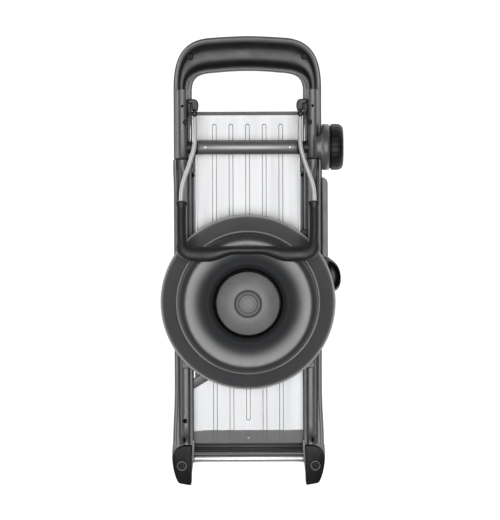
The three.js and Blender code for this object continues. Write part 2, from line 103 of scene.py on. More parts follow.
def blade_xy(along, across):
    """X and Y of a point given along and across the blade."""
    c, s = math.cos(BLADE_ANGLE), math.sin(BLADE_ANGLE)
    return along * c - across * s, BLADE_Y + along * s + across * c


def in_blade_frame(along, across, z):
    return at(*blade_xy(along, across), z)


# ---------------------------------------------------------------- mesh helpers
def finish_mesh(obj, angle=40):
    """Merges doubled points, turns the faces outwards and shades them smooth up to the angle."""
    bm = bmesh.new()
    bm.from_mesh(obj.data)
    bmesh.ops.remove_doubles(bm, verts=bm.verts, dist=2e-6)
    bmesh.ops.dissolve_degenerate(bm, edges=bm.edges, dist=1e-6)
    bmesh.ops.recalc_face_normals(bm, faces=bm.faces)
    bm.to_mesh(obj.data)
    bm.free()
    obj.data.shade_smooth()
    obj.data.set_sharp_from_angle(angle=math.radians(angle))


def plain(name, points, faces):
    """A mesh object from points in metres."""
    mesh = bpy.data.meshes.new(name)
    mesh.from_pydata([tuple(p) for p in points], [], faces)
    obj = bpy.data.objects.new(name, mesh)
    bpy.context.scene.collection.objects.link(obj)
    finish_mesh(obj)
    return obj


def applied(obj):
    """Replaces the object's mesh by its evaluated one and drops its modifiers."""
    graph = bpy.context.evaluated_depsgraph_get()
    mesh = bpy.data.meshes.new_from_object(obj.evaluated_get(graph))
    obj.modifiers.clear()
    obj.data = mesh
    finish_mesh(obj)
    return obj


def add_bevel(obj, width, segments, angle):
    bevel = obj.modifiers.new("Bevel", "BEVEL")
    bevel.width = width * MM
    bevel.segments = segments
    bevel.limit_method = "ANGLE"
    bevel.angle_limit = math.radians(angle)


def bevelled(obj, width, segments=3, angle=35):
    """Rounds the edges sharper than the angle, and applies it."""
    add_bevel(obj, width, segments, angle)
    return applied(obj)


def carved(obj, *cutters):
    """Cuts the cutters out of the object and removes them."""
    for cutter in cutters:
        cut = obj.modifiers.new("Cut", "BOOLEAN")
        cut.object = cutter
        cut.operation = "DIFFERENCE"
        cut.solver = "EXACT"
    applied(obj)
    for cutter in cutters:
        bpy.data.objects.remove(cutter)
    return obj


def piece(obj, material, body, replaces=()):
    """Dresses a finished object and declares its body and the CAD nodes it replaces."""
    obj.data.materials.clear()
    obj.data.materials.append(MATERIAL[material])
    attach(obj, body)
    if replaces:
        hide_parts(*replaces)
    return obj


def loft(rings, capped=True):
    """Points and faces of a skin over rings of equally many points."""
    count = len(rings[0])
    points = [p for ring in rings for p in ring]
    faces = []
    for i in range(len(rings) - 1):
        for j in range(count):
            a = i * count + j
            b = i * count + (j + 1) % count
            faces.append((a, b, b + count, a + count))
    if capped:
        faces.append(tuple(reversed(range(count))))
        faces.append(tuple(range(len(points) - count, len(points))))
    return points, faces


def prism(name, outline, z0, z1):
    """An X-Y outline raised from z0 to z1."""
    rings = [[at(x, y, z) for x, y in outline] for z in (z0, z1)]
    return plain(name, *loft(rings))


def rectangle(us, vs):
    return [(us[0], vs[0]), (us[1], vs[0]), (us[1], vs[1]), (us[0], vs[1])]


def block(name, xs, ys, zs):
    return prism(name, rectangle(xs, ys), *zs)


def lathe(name, profile, centre, axis="z", steps=128, ripple=None):
    """A (radius, height) profile turned about an axis through centre; ripple scales the radius by angle."""
    closed = profile[0][0] > 1e-6
    count = len(profile)
    points, faces = [], []
    for i in range(steps):
        angle = 2 * math.pi * i / steps
        for r, h in profile:
            radius = r if ripple is None else ripple(r, h, angle)
            u, v = radius * math.cos(angle), radius * math.sin(angle)
            local = (u, v, h) if axis == "z" else (h, u, v)
            points.append(at(*(c + d for c, d in zip(centre, local))))
        for j in range(count if closed else count - 1):
            k = (j + 1) % count
            nxt = (i + 1) % steps
            faces.append((i * count + j, i * count + k, nxt * count + k, nxt * count + j))
    return plain(name, points, faces)


def through(controls, per_span=6):
    """A smooth curve through control points (uniform Catmull-Rom)."""
    pts = [Vector(c) for c in controls]
    pts = [2 * pts[0] - pts[1], *pts, 2 * pts[-1] - pts[-2]]
    curve = []
    for p0, p1, p2, p3 in zip(pts, pts[1:], pts[2:], pts[3:]):
        for i in range(per_span):
            t = i / per_span
            curve.append(
                0.5 * (2 * p1 + (p2 - p0) * t + (2 * p0 - 5 * p1 + 4 * p2 - p3) * t**2
                       + (3 * p1 - p0 - 3 * p2 + p3) * t**3)
            )
    return [*curve, pts[-2]]


def bezier(controls, steps):
    """Points of a Bezier curve of any degree, its start left out."""
    points = []
    for i in range(1, steps + 1):
        level = [Vector(c) for c in controls]
        while len(level) > 1:
            level = [a.lerp(b, i / steps) for a, b in zip(level, level[1:])]
        points.append(tuple(level[0]))
    return points


def rod(name, axis, radius, span, centre, steps=48, rim=0.4):
    """A round bar with rounded ends along one axis; span is its two ends along that axis."""
    a, b = span
    profile = [(0, a), (radius - rim, a), (radius - rim * 0.3, a + rim * 0.3), (radius, a + rim),
               (radius, b - rim), (radius - rim * 0.3, b - rim * 0.3), (radius - rim, b), (0, b)]
    if axis == "y":
        turned = lathe(name, profile, (0, 0, 0), "z", steps)
        shift = at(centre[0], 0, centre[1])
        for v in turned.data.vertices:
            local = v.co - at(0, 0, 0)
            v.co = shift + Vector((local.x, local.z, -local.y))
        finish_mesh(turned)
        return turned
    place = (0, *centre) if axis == "x" else (*centre, 0)
    return lathe(name, profile, place, axis, steps)


def both_sides(make):
    """Calls make(side, word) for the left side and then the right."""
    for side, word in ((-1, "left"), (1, "right")):
        make(side, word)


# ---------------------------------------------------------------- materials
def node(tree, kind, **settings):
    made = tree.nodes.new(kind)
    for key, value in settings.items():
        if key in made.inputs:
            made.inputs[key].default_value = value
        else:
            setattr(made, key, value)
    return made


NOISE_SPAN = (0.3, 0.7)  # where nearly all of a noise texture's values lie
# Convex edges are lightened towards this colour, both as wear and as a painted edge highlight.
EDGE_WEAR_AND_HIGHLIGHT_SPAN = (0.53, 0.62)  # pointiness of a convex edge
EDGE_WEAR_AND_HIGHLIGHT_COLOR = (0.45, 0.45, 0.46, 1)
LEAST_ROUGHNESS = 0.03
BROAD_GRAIN = 40  # how much coarser the slow drift is than the grain


def ranged(tree, value, source, target):
    """The value, mapped from one span to the other."""
    made = node(tree, "ShaderNodeMapRange")
    made.inputs["From Min"].default_value, made.inputs["From Max"].default_value = source
    made.inputs["To Min"].default_value, made.inputs["To Max"].default_value = target
    tree.links.new(value, made.inputs["Value"])
    return made.outputs[0]


def surface(name, color, roughness, metallic=0.0, grain=1400.0, bump=0.06, shade=0.12,
            stretch=(1, 1, 1), spread=0.08, edge_wear_and_highlight=0.0, specular=0.5, ior=1.5):
    """A procedural finish: fine grain in the bump, slow drift in tone and gloss, and convex edges lightened
    both as wear and as a painted highlight.
    """
    mat = bpy.data.materials.new(name)
    mat.use_nodes = True
    tree = mat.node_tree
    link = tree.links.new
    shader = tree.nodes["Principled BSDF"]
    shader.inputs["Metallic"].default_value = metallic
    shader.inputs["Specular IOR Level"].default_value = specular
    shader.inputs["IOR"].default_value = ior
    coords = node(tree, "ShaderNodeTexCoord")
    mapping = node(tree, "ShaderNodeMapping", Scale=stretch)
    link(coords.outputs["Object"], mapping.inputs["Vector"])
    fine = node(tree, "ShaderNodeTexNoise", Scale=grain, Detail=3.0, Roughness=0.6)
    broad = node(tree, "ShaderNodeTexNoise", Scale=grain / BROAD_GRAIN, Detail=4.0, Roughness=0.65)
    link(mapping.outputs[0], fine.inputs["Vector"])
    link(mapping.outputs[0], broad.inputs["Vector"])
    tint = ranged(tree, broad.outputs["Fac"], NOISE_SPAN, (1 - shade, 1 + shade))
    scaled = node(tree, "ShaderNodeVectorMath", operation="SCALE")
    scaled.inputs[0].default_value = color
    link(tint, scaled.inputs["Scale"])
    tone = scaled.outputs[0]
    # Convex edges found by pointiness are lightened: partly wear, partly a painted highlight.
    if edge_wear_and_highlight:
        geometry = node(tree, "ShaderNodeNewGeometry")
        edge = ranged(tree, geometry.outputs["Pointiness"], EDGE_WEAR_AND_HIGHLIGHT_SPAN, (0, edge_wear_and_highlight))
        lighter = node(tree, "ShaderNodeMix", data_type="RGBA")
        lighter.inputs["B"].default_value = EDGE_WEAR_AND_HIGHLIGHT_COLOR
        link(edge, lighter.inputs["Factor"])
        link(tone, lighter.inputs["A"])
        tone = lighter.outputs["Result"]
    link(tone, shader.inputs["Base Color"])
    rough_span = (max(LEAST_ROUGHNESS, roughness - spread), roughness + spread)
    link(ranged(tree, broad.outputs["Fac"], NOISE_SPAN, rough_span), shader.inputs["Roughness"])
    relief = node(tree, "ShaderNodeBump", Strength=bump, Distance=0.0002)
    link(fine.outputs["Fac"], relief.inputs["Height"])
    link(relief.outputs[0], shader.inputs["Normal"])
    return mat


BRUSHED = (12.0, 0.6, 12.0)  # streaks run along Y
MATERIAL = {
    "frame": surface("satin_frame_plastic", (0.108, 0.11, 0.115), 0.34, grain=2200, bump=0.1, edge_wear_and_highlight=0.2,
                     specular=0.8),
    "dark": surface("dark_moulded_plastic", (0.018, 0.0185, 0.02), 0.4, grain=2200, bump=0.12, edge_wear_and_highlight=0.1),
    "grip": surface("soft_grip_rubber", (0.0035, 0.004, 0.005), 0.36, grain=2600, bump=0.2, shade=0.2,
                    specular=0.7),
    "sleeve": surface("sleeve_rubber", (0.0045, 0.005, 0.006), 0.5, grain=2600, bump=0.15, shade=0.1,
                      specular=0.8),
    "rubber": surface("matte_rubber", (0.005, 0.0052, 0.006), 0.45, grain=2600, bump=0.25, shade=0.2,
                      specular=0.35),
    "runway": surface("embossed_steel", (0.45, 0.454, 0.46), 0.33, 0.5, 300, 0.05, 0.04, BRUSHED, 0.05),
    "blade": surface("ground_blade_steel", (0.5, 0.51, 0.53), 0.25, 0.6, 400, 0.08, 0.06, BRUSHED, 0.05),
    "wire": surface("satin_wire", (0.94, 0.945, 0.95), 0.6, 0.9, 900, 0.0, 0.02, spread=0.02),
    "chrome": surface("satin_rod", (0.9, 0.905, 0.91), 0.42, 1.0, 900, 0.0, 0.02, spread=0.02),
    "tube": surface("satin_tube", (0.32, 0.322, 0.328), 0.42, 0.7, 500, 0.04, 0.04, (1, 12, 12), 0.04),
    "holder": surface("holder_satin_plastic", (0.036, 0.038, 0.041), 0.36, grain=2400, bump=0.02,
                      shade=0.03, spread=0.02, specular=0.95, ior=1.62),
    # Pale plastic for the beads on the holder's edges: painted highlights.
    "rim": surface("painted_highlight_bead_plastic", (0.46, 0.465, 0.47), 0.36, grain=2400, bump=0.02, shade=0.04,
                   spread=0.02),
    "knob": surface("knob_satin_plastic", (0.22, 0.222, 0.227), 0.4, grain=2400, bump=0.1, edge_wear_and_highlight=0.15),
    "black": surface("black_screw_metal", (0.003, 0.003, 0.0035), 0.45, grain=1800, bump=0.1, edge_wear_and_highlight=0.2,
                     specular=0.2),
    "tab": surface("light_tab_plastic", (0.2, 0.2, 0.21), 0.4, grain=2200, bump=0.12),
    # Near-black for painted shade in holes, slots and the knob's well.
    "painted_shade": surface("painted_shade_black", (0.004, 0.004, 0.004), 0.8, grain=2200, bump=0.05, specular=0.1),
}


# ---------------------------------------------------------------- handle
def with_mirror(points):
    """The points, which end on the plane of symmetry, followed by their mirror image."""
    return points + [(-x, y) for x, y in reversed(points[:-1])]


def arch(outer_inset, arm_inset, bar_inset, leg_end, steps=18):
    """Outer and inner contour of the U handle, paired point by point, from the right leg to the left."""
    outer = [(68.5 - outer_inset, leg_end), (68.5 - outer_inset, 162)]
    shoulder = [(68.3 - outer_inset, 189), (60, 207 - outer_inset), (31.4, 207.7 - outer_inset)]
    outer += bezier([outer[-1], *shoulder], steps)
    outer += bezier([outer[-1], (16, 208.9 - outer_inset), (0, HANDLE_END - outer_inset)], steps // 2)
    inner = [(51.6 + arm_inset, leg_end), (51.6 + arm_inset, 159.6)]
    corner = [(50.9 + arm_inset, 171), (46 + bar_inset, 174.6 + bar_inset), (30, 175.3 + bar_inset)]
    inner += bezier([inner[-1], *corner], steps)
    inner += bezier([inner[-1], (15, 177 + bar_inset), (0, 177 + bar_inset)], steps // 2)
    return with_mirror(outer), with_mirror(inner)


def superellipse(centre, half, height, power, count=40):
    """A rounded section spanned by the half-width vector and the half-height along Z."""
    ring = []
    for i in range(count):
        a = 2 * math.pi * i / count
        c, s = math.cos(a), math.sin(a)
        across = math.copysign(abs(c) ** (2 / power), c)
        up = math.copysign(abs(s) ** (2 / power), s)
        ring.append(at(*(centre + half * across + Vector((0, 0, height * up)))))
    return ring


def build_grip():
    low, high = corners("handle_grip_food_side")[0].z, corners("handle_grip_underside")[1].z
    outer, inner = arch(1.4, 3.0, 0.7, corners("handle_grip_underside")[0].y)
    outer, inner = outer[:1] + outer[2:-2] + outer[-1:], inner[:1] + inner[2:-2] + inner[-1:]
    rings = []
    for (ox, oy), (ix, iy) in zip(outer, inner):
        centre = Vector(((ox + ix) / 2, (oy + iy) / 2, (low + high) / 2))
        half = Vector(((ox - ix) / 2, (oy - iy) / 2, 0))
        rings.append(superellipse(centre, half, (high - low) / 2, 2.4))
    grip = plain("handle_grip", *loft(rings))
    wells = []
    both_sides(lambda side, word: wells.append(
        rod("well", "z", 3.2, (high - 4, high + 2), mirrored(side, GRIP_SCREW_AT), 32, 0.2)))
    carved(grip, *wells)
    piece(grip, "grip", "root", ("handle_grip_underside", "handle_grip_food_side"))


def build_upper_frame():
    low, high = corners("handle_frame")[0].z, 20.0
    outer, inner = arch(0, 0, 0, FRAME_FROM)
    shell = bevelled(prism("upper_frame", outer + inner[::-1], low, high), 1.3, 4, 50)
    piece(shell, "frame", "root", ("handle_frame",))

    def bar(side, word):
        rings = []
        for y, grow in ((FRAME_FROM, 0.45), (FRAME_FROM + 0.6, 0.72), (FRAME_FROM + 1.8, 0.9),
                        (FRAME_FROM + 3.6, 1.0), (130, 1.0), (159.6, 1.0)):
            ring = []
            for i in range(25):
                a = math.pi * i / 24
                x = 60.3 + 5.5 * grow**0.4 * math.copysign(abs(math.cos(a)) ** 0.75, math.cos(a))
                ring.append(at(side * x, y, 19 + 11 * grow * abs(math.sin(a)) ** 0.75))
            rings.append(ring)
        body = plain(f"frame_bar_{word}", *loft(rings))
        hole = rod("hole", "z", 1.3, (25, 34), mirrored(side, FRAME_HOLE_AT), 24, 0.1)
        well = rod("well", "z", 2.9, (26, 34), mirrored(side, RAIL_SCREW_AT), 32, 0.2)
        carved(body, hole, well)
        piece(body, "frame", "root")

    both_sides(bar)


# ---------------------------------------------------------------- screws
def build_screw(name, radius, top, centre, drop):
    """A pan-head screw with a six-lobed recess."""
    head = rod("screw_" + name, "z", radius, (top - drop, top), centre, 40, 0.5)
    recess = lathe("recess", [(0, top - 1), (radius * 0.5, top - 1), (radius * 0.5, top + 1), (0, top + 1)],
                   (*centre, 0), "z", 48, lambda r, h, a: r * (1 + 0.18 * math.cos(6 * a)))
    carved(head, recess)
    piece(head, "black", "root", (name,))


def build_screws():
    for name, radius in (("grip_screw", 2.7), ("rail_screw", 2.4), ("foot_screw", 3.2)):
        for word in ("left", "right"):
            low, high = corners(f"{name}_{word}")
            mid = (low + high) / 2
            top = high.z - (foot_slump(mid.y) if name == "foot_screw" else 0)
            build_screw(f"{name}_{word}", radius, top, (mid.x - SYM_X, mid.y), high.z - low.z)


# ---------------------------------------------------------------- side rails
def blend_step(edge0, edge1, value):
    t = min(1, max(0, (value - edge0) / (edge1 - edge0)))
    return t * t * (3 - 2 * t)


RAIL_IN = 51.1  # the rail's inner face


def rail_section(y):
    """The rail's section at y as (x, z): outer wall and lip, groove, leaning rib, inner ledge."""
    flare = 1.8 * blend_step(-118, -170, y)
    bulge = 0.5 * blend_step(70, 84, y)
    upper = blend_step(80, 91, y)
    rib = 1 - blend_step(-158, -166, y)
    crown = 24.6 + (RAIL_TOP - 24.6) * rib
    out = 68.6 + flare + bulge
    rib_in, rib_out = 54.2 + upper * 0.6, 64.6 + upper * 1.2
    top_in, top_out = 56.0 + upper * 1.6, 60.2 + upper * 2.6
    outer = [(RAIL_IN, 0), (out - 0.8, 0), (out, 0.8), (out + 0.2, 12), (out, 22.6), (out - 0.5, 24.2),
             (out - 1.4, 24.7), (out - 2.9, 24.5), (out - 3.4, 22.2), (rib_out, 22.0)]
    rib_arc = [(rib_out - 0.3, 24.0), (rib_out - 1.5, 0.55 * 22 + 0.45 * crown + 1.2),
               (top_out + 1.4, crown - 1.1), (top_out, crown - 0.25), ((top_in + top_out) / 2, crown),
               (top_in, crown - 0.5), (rib_in + 0.9, crown - 2.0), (rib_in + 0.2, 24.6)]
    inner = [(rib_in - 0.1, 22.4), (53.6, 22.4), (53.4, 24.2), (53.1, 24.6), (52.3, 24.6), (52.0, 24.0),
             (51.9, 21.0), (RAIL_IN + 0.2, 20.4), (RAIL_IN, 19.6)]
    return outer + rib_arc + inner


def build_rail(side, word):
    stations = [RAIL_FROM, -166, -164, -162, -160, -158, -150, -135, -120, -60, 0, 60, 70, 76, 80, 82,
                84, 86, 88, 90, 93, RAIL_TO + 0.3]
    rings = [[at(side * x, y, z) for x, z in rail_section(y)] for y in stations]
    rail = plain(f"rail_{word}", *loft(rings))
    cutters = [
        block("recess", (side * 53.4, side * 61.3), (-98.6, -92.4), (24.5, 34)),
        block("slot", (side * 58.4, side * 60.9), (-168, -163.6), (20, 34)),
    ]
    if side < 0:
        cutters.append(rod("hole", "z", 2.1, (22, 34), LEFT_RAIL_HOLE_AT, 32, 0.1))
    else:
        outline = [blade_xy(u, v) for u, v in rectangle((40, 110), EXIT_ACROSS)]
        cutters.append(prism("exit", outline, 5.2, 16.8))
    carved(rail, *cutters)
    piece(rail, "frame", "root", (f"side_rail_{word}",))


# ---------------------------------------------------------------- feet and end bars
def foot_slump(y):
    """How far the foot's top falls away towards its tip, in millimetres."""
    return 0.26 * max(0.0, -179 - y)


def slumped(obj):
    """Lowers a foot's points towards its tip, the upper ones most."""
    for v in obj.data.vertices:
        v.co.z -= foot_slump(v.co.y / MM) * MM * min(1.0, max(0.0, (v.co.z / MM - 4) / 12))
    finish_mesh(obj)
    return obj


def build_foot(side, word):
    height = corners("foot_left")[1].z
    start, end = corners("foot_left")[1].y, corners("foot_left")[0].y
    outline = [(52.4, start), (58, start)]
    outline += bezier([(58, start), (64, start), (71, -174), (71, -184)], 14)
    outline += bezier([(71, -184), (71, -192), (68.6, -201), (66.4, -205.4)], 10)
    outline += bezier([(66.4, -205.4), (65.4, -207.2), (63, -207.6)], 6)
    outline += [(55, end)]
    outline += bezier([(55, end), (53.6, end), (53.4, -207.6)], 4)
    foot = prism(f"foot_cap_{word}", [(side * x, y) for x, y in outline], 0, height)
    foot = bevelled(foot, 2.6, 5, 50)
    screw_x, screw_y = mirrored(side, FOOT_SCREW_AT)
    carved(foot, rod("well", "z", 4.0, (height - 3, height + 2), (screw_x, screw_y), 40, 0.2))
    piece(slumped(foot), "rubber", "root", (f"foot_{word}",))
    ring = [(3.7, height - 1.2), (4.5, height - 1.2), (4.6, height + 0.1), (4.2, height + 0.25),
            (3.7, height)]
    collar = lathe(f"foot_eyelet_{word}", ring, (screw_x, screw_y, 0), "z", 48)
    piece(slumped(collar), "tab", "root")
    tail = [(50.4, -166), (70.4, -166), (71.2, -176), (71.4, -184), (70.8, -190), (53.8, -198),
            (53.0, -198), (51.4, -184), (50.4, -176)]
    tail = prism(f"rail_tail_{word}", [(side * x, y) for x, y in tail], 1, 22)
    piece(bevelled(tail, 0.6, 3, 40), "frame", "root")


def build_end_bars():
    low, high = corners("foot_rod")
    mid = middle("foot_rod")
    bar = rod("foot_cross_rod", "x", 4, (low.x - SYM_X, high.x - SYM_X), (mid.y, mid.z))
    piece(bar, "chrome", "root", ("foot_rod",))
    low, high = corners("end_crossbar")
    half = high.x - SYM_X + TO_RAIL
    profile = [(low.y, low.z), (low.y, high.z - 3), (low.y + 1.2, high.z - 0.7), (low.y + 3.2, high.z),
               (low.y + 4.2, high.z - 1.0), (low.y + 5.0, high.z - 1.0), (low.y + 6.0, high.z),
               (high.y - 1.2, high.z - 0.7), (high.y, high.z - 3), (high.y, low.z)]
    rings = [[at(x, y, z) for y, z in profile] for x in (-half, half)]
    bar = bevelled(plain("end_bar", *loft(rings)), 0.5, 2, 35)
    piece(bar, "dark", "root", ("end_crossbar",))
    ledge = block("end_bar_ledge", (-half, half), (low.y - 1.4, low.y + 1), (low.z, low.z + 4))
    piece(bevelled(ledge, 0.4, 2, 35), "dark", "root")


# ---------------------------------------------------------------- embossed runway sheets
RIBS = (-31.0, -15.5, 0.0, 15.5, 31.0)
RIB_HALF = 2.05
RIB_DEPTH = 0.4


def rib_dip(x, y, spans):
    """How far the sheet is pressed towards the food side, with rounded rib ends."""
    dip = 0.0
    for rib in RIBS:
        for low, high in spans(rib):
            along = max(low + RIB_HALF - y, 0, y - (high - RIB_HALF))
            distance = math.hypot(x - rib, along)
            dip = max(dip, 1 - blend_step(RIB_HALF * 0.74, RIB_HALF, distance))
    return RIB_DEPTH * dip


def rib_columns(half):
    """X places across a sheet of that half width, close together on the ribs' walls."""
    shares = (0, 0.66, 0.74, 0.8, 0.87, 0.94, 1.0, 1.08)
    offsets = [side * RIB_HALF * share for side in (-1, 1) for share in shares]
    between = (-40.0, -23.0, -8.0, 8.0, 23.0, 40.0)
    return sorted({-half, half, *(rib + o for rib in RIBS for o in offsets), *between})


def sheet(name, columns, rows, place):
    """A pressed sheet: place(x, row) gives a top point and the outward offset of its thickness."""
    top = [[place(x, row) for x in columns] for row in rows]
    wide, tall = len(columns), len(rows)
    points = [p for line in top for p, _ in line] + [p + n for line in top for p, n in line]
    faces = []
    for i in range(tall - 1):
        for j in range(wide - 1):
            a = i * wide + j
            quad = (a, a + 1, a + wide + 1, a + wide)
            faces.append(quad)
            faces.append(tuple(reversed([k + wide * tall for k in quad])))
    loop = list(range(wide)) + [i * wide + wide - 1 for i in range(1, tall)]
    loop += [(tall - 1) * wide + j for j in range(wide - 2, -1, -1)]
    loop += [i * wide for i in range(tall - 2, 0, -1)]
    for a, b in zip(loop, loop[1:] + loop[:1]):
        faces.append((a, b, b + wide * tall, a + wide * tall))
    return plain(name, points, faces)


def diagonal_y(x, across):
    """Y of the line parallel to the blade, offset across it, at x."""
    return BLADE_Y + x * math.tan(BLADE_ANGLE) + across / math.cos(BLADE_ANGLE)


def spaced(values, fine_from, fine_to, fine_step, coarse_step):
    """Row places that are close together between fine_from and fine_to."""
    low, high = values
    rows = [low]
    while rows[-1] < high:
        step = fine_step if fine_from <= rows[-1] <= fine_to else coarse_step
        rows.append(min(high, rows[-1] + step))
    return rows


def build_infeed():
    """The long sheet, with its low wall at the handle end."""
    half = corners("infeed_runway")[1].x - SYM_X
    top = corners("infeed_runway")[1].y
    bend = top - 3.2
    wall = [(bend + 0.3, 0.05, 0.2), (bend + 0.8, 0.4, 0.7), (bend + 1.2, 1.0, 1.0), (bend + 2.6, 3.2, 1.0),
            (bend + 3.0, 3.6, 0.6), (bend + 3.6, 3.8, 0.1)]

    def infeed(x, row):
        if isinstance(row, tuple):
            y, rise, a = row
            return at(x, y, SHEET_Z + rise), Vector((0, -math.sin(a), math.cos(a))) * MM
        low = diagonal_y(x, INFEED_EDGE)
        y = low + (bend - low) * row
        return at(x, y, SHEET_Z - rib_dip(x, y, lambda rib: [(-400, 128.3)])), Vector((0, 0, MM))

    rows = [*spaced((0, 1), 0.925, 0.966, 0.0011, 0.02), *wall]
    plate = sheet("infeed_sheet", rib_columns(half), rows, infeed)
    piece(plate, "runway", "infeed_table", ("infeed_runway",))


def build_outfeed():
    """The short sheet, with its bent lip at the feet."""
    half = corners("outfeed_runway")[1].x - SYM_X + TO_RAIL
    end = corners("outfeed_runway")[0].y + 0.3
    drop = corners("outfeed_runway")[1].z - SHEET_Z - 1
    bend_y = -158.6

    def spans(rib):
        return [(-150.0, 400), (-400, -165.2)] if rib == 0 else [(-400, 400)]

    def outfeed(x, row):
        high = diagonal_y(x, OUTFEED_EDGE)
        y = end + (high - end) * row
        fold = max(0.0, bend_y - y)
        rise = drop * (fold / (bend_y - end)) ** 1.06
        return at(x, y, SHEET_Z + rise - rib_dip(x, y, spans)), Vector((0, 0, MM))

    rows = spaced((0, 1), 0.0, 0.31, 0.0035, 0.03)
    plate = sheet("outfeed_sheet", rib_columns(half), rows, outfeed)
    piece(plate, "runway", "root", ("outfeed_runway",))


# ---------------------------------------------------------------- thickness dial and cross tube
def build_dial():
    y, z = DIAL.y, DIAL.z
    radius = 21.4
    start = corners("dial_knob")[0].x - SYM_X
    teeth = 20

    def ripple(r, h, angle):
        grip = blend_step(start + 2.0, start + 3.2, h) * (1 - blend_step(DIAL_X - 2.2, DIAL_X - 0.4, h))
        return r - 0.35 * grip * max(0.0, math.cos(teeth * angle)) ** 12

    profile = [(0, start), (19.6, start), (20.0, start + 0.4), (20.2, start + 1.4), (radius, start + 1.9),
               (radius, start + 3), (radius, start + 6), (radius - 0.2, start + 8.5),
               (radius - 0.9, DIAL_X - 2.6), (radius - 2.0, DIAL_X - 1.1), (radius - 3.4, DIAL_X - 0.3),
               (radius - 5, DIAL_X), (12, DIAL_X), (11, DIAL_X - 0.6), (0, DIAL_X - 0.6)]
    knob = lathe("dial_grip", profile, (0, y, z), "x", teeth * 16, ripple)
    piece(knob, "rubber", "thickness_dial", ("dial_knob",))

    hub = [(0, 68.7), (20.4, 68.7), (21.0, 69.2), (21.3, 70.2), (21.4, 73), (21.2, 74.8), (20.8, 75.3),
           (0, 75.3)]
    hub = lathe("dial_hub", hub, (0, y, z), "x", 96)
    piece(hub, "frame", "root", ("dial_housing",))

    floor = RAIL_TOP + 0.35
    height = z + radius - floor
    rings = []
    for x, wide, tall in ((60.7, 6.8, 0.62), (61.0, 8.2, 0.78), (61.6, 9.3, 0.9), (62.6, 10.0, 0.97),
                          (64, 10.3, 1), (66, 10.6, 1), (67.2, 11.6, 1), (68.0, 13.2, 1),
                          (68.5, 15.4, 0.99), (69.4, 16.5, 0.98)):
        arc = []
        for i in range(33):
            a = math.pi * i / 32
            across = wide * math.copysign(abs(math.cos(a)) ** 0.7, math.cos(a))
            arc.append(at(x, y + across, floor + height * tall * math.sin(a) ** 0.7))
        rings.append(arc)
    saddle = plain("dial_saddle", *loft(rings))
    piece(saddle, "frame", "root")

    def bush(side, word):
        shell = rod(f"shaft_bush_{word}", "x", 5.6, sorted((side * 50.3, side * 57.2)), (y, z), 48, 0.6)
        piece(shell, "dark", "root")

    both_sides(bush)


def build_cross_tube():
    low, high = corners("cross_tube")
    half = high.x - SYM_X
    body = rod("spacer_tube", "x", (high.z - low.z) / 2, (-half, half), (TUBE.y, TUBE.z), 72, 0.5)
    piece(body, "tube", "root", ("cross_tube",))

    def stud(side, word):
        span = (high.z - 1, high.z + 0.15)
        pin = rod(f"tube_stud_{word}", "z", 0.75, span, (side * 39, TUBE.y), 20, 0.1)
        piece(pin, "chrome", "root")

    def collar(side, word):
        span = sorted((side * (half + 0.3), side * 48.4))
        ring = rod(f"end_collar_{word}", "x", 7, span, (TUBE.y, TUBE.z), 64, 0.5)
        piece(ring, "dark", "root", (f"tube_collar_{word}",))

    both_sides(stud)
    both_sides(collar)


# ---------------------------------------------------------------- folding leg
LEG_HALF = [(48.5, 133.5), (48.1, 120), (48.6, 107.5), (50.8, 98), (54.2, 87.3), (58, 76.6), (60.2, 66),
            (60.7, 52), (60.6, 29), (59.4, 19), (54.4, 13.4), (45, 12), (24, 12), (0, 12)]
LEG_END_Z = 67.5
LEG_CLIMB = (LEG_END_Z - PIVOT.z) / (PIVOT.y - LEG_HALF[-1][1])
COLLAR_Y = 57.9
WIRE_RADIUS = 2.0
SLEEVE_RADIUS = 4.5


def leg_path(per_span):
    """The wire's middle line, from the left pivot round to the right one."""
    left = [(-x, y) for x, y in LEG_HALF]
    return through([(x, y, PIVOT.z + (PIVOT.y - y) * LEG_CLIMB) for x, y in with_mirror(left)], per_span)


def swept(name, path, section, sides=28):
    """A skin round a path in the leg's sloping plane.

    section(point) gives the radius in the plane, the radius out of it, and a shift in the plane.
    """
    out = Vector((0, LEG_CLIMB, 1)).normalized()
    rings = []
    for i, p in enumerate(path):
        ahead = path[min(i + 1, len(path) - 1)] - path[max(i - 1, 0)]
        across = out.cross(ahead.normalized())
        wide, tall, shift = section(p)
        ring = []
        for k in range(sides):
            a = 2 * math.pi * k / sides
            q = p + across * (wide * math.cos(a) + shift) + out * (tall * math.sin(a))
            ring.append(at(*q))
        rings.append(ring)
    return plain(name, *loft(rings))


def sleeve_section(p):
    """Radii of the rubber sleeve: a flared collar, thick foot lobes on the crossbar and a slim middle."""
    if p.y > 30:
        flare = 1.0 * blend_step(COLLAR_Y - 6, COLLAR_Y - 3, p.y)
        return SLEEVE_RADIUS + flare, SLEEVE_RADIUS + flare, 0
    lobe = blend_step(13, 36, abs(p.x)) * blend_step(23, 12.5, p.y)
    slim = 1 - blend_step(9, 26, abs(p.x))
    wide = SLEEVE_RADIUS + 2.5 * lobe - 0.9 * slim
    shift = 0.3 * slim - 3.0 * lobe
    return wide, SLEEVE_RADIUS + 0.6 * lobe - 0.3 * slim, shift


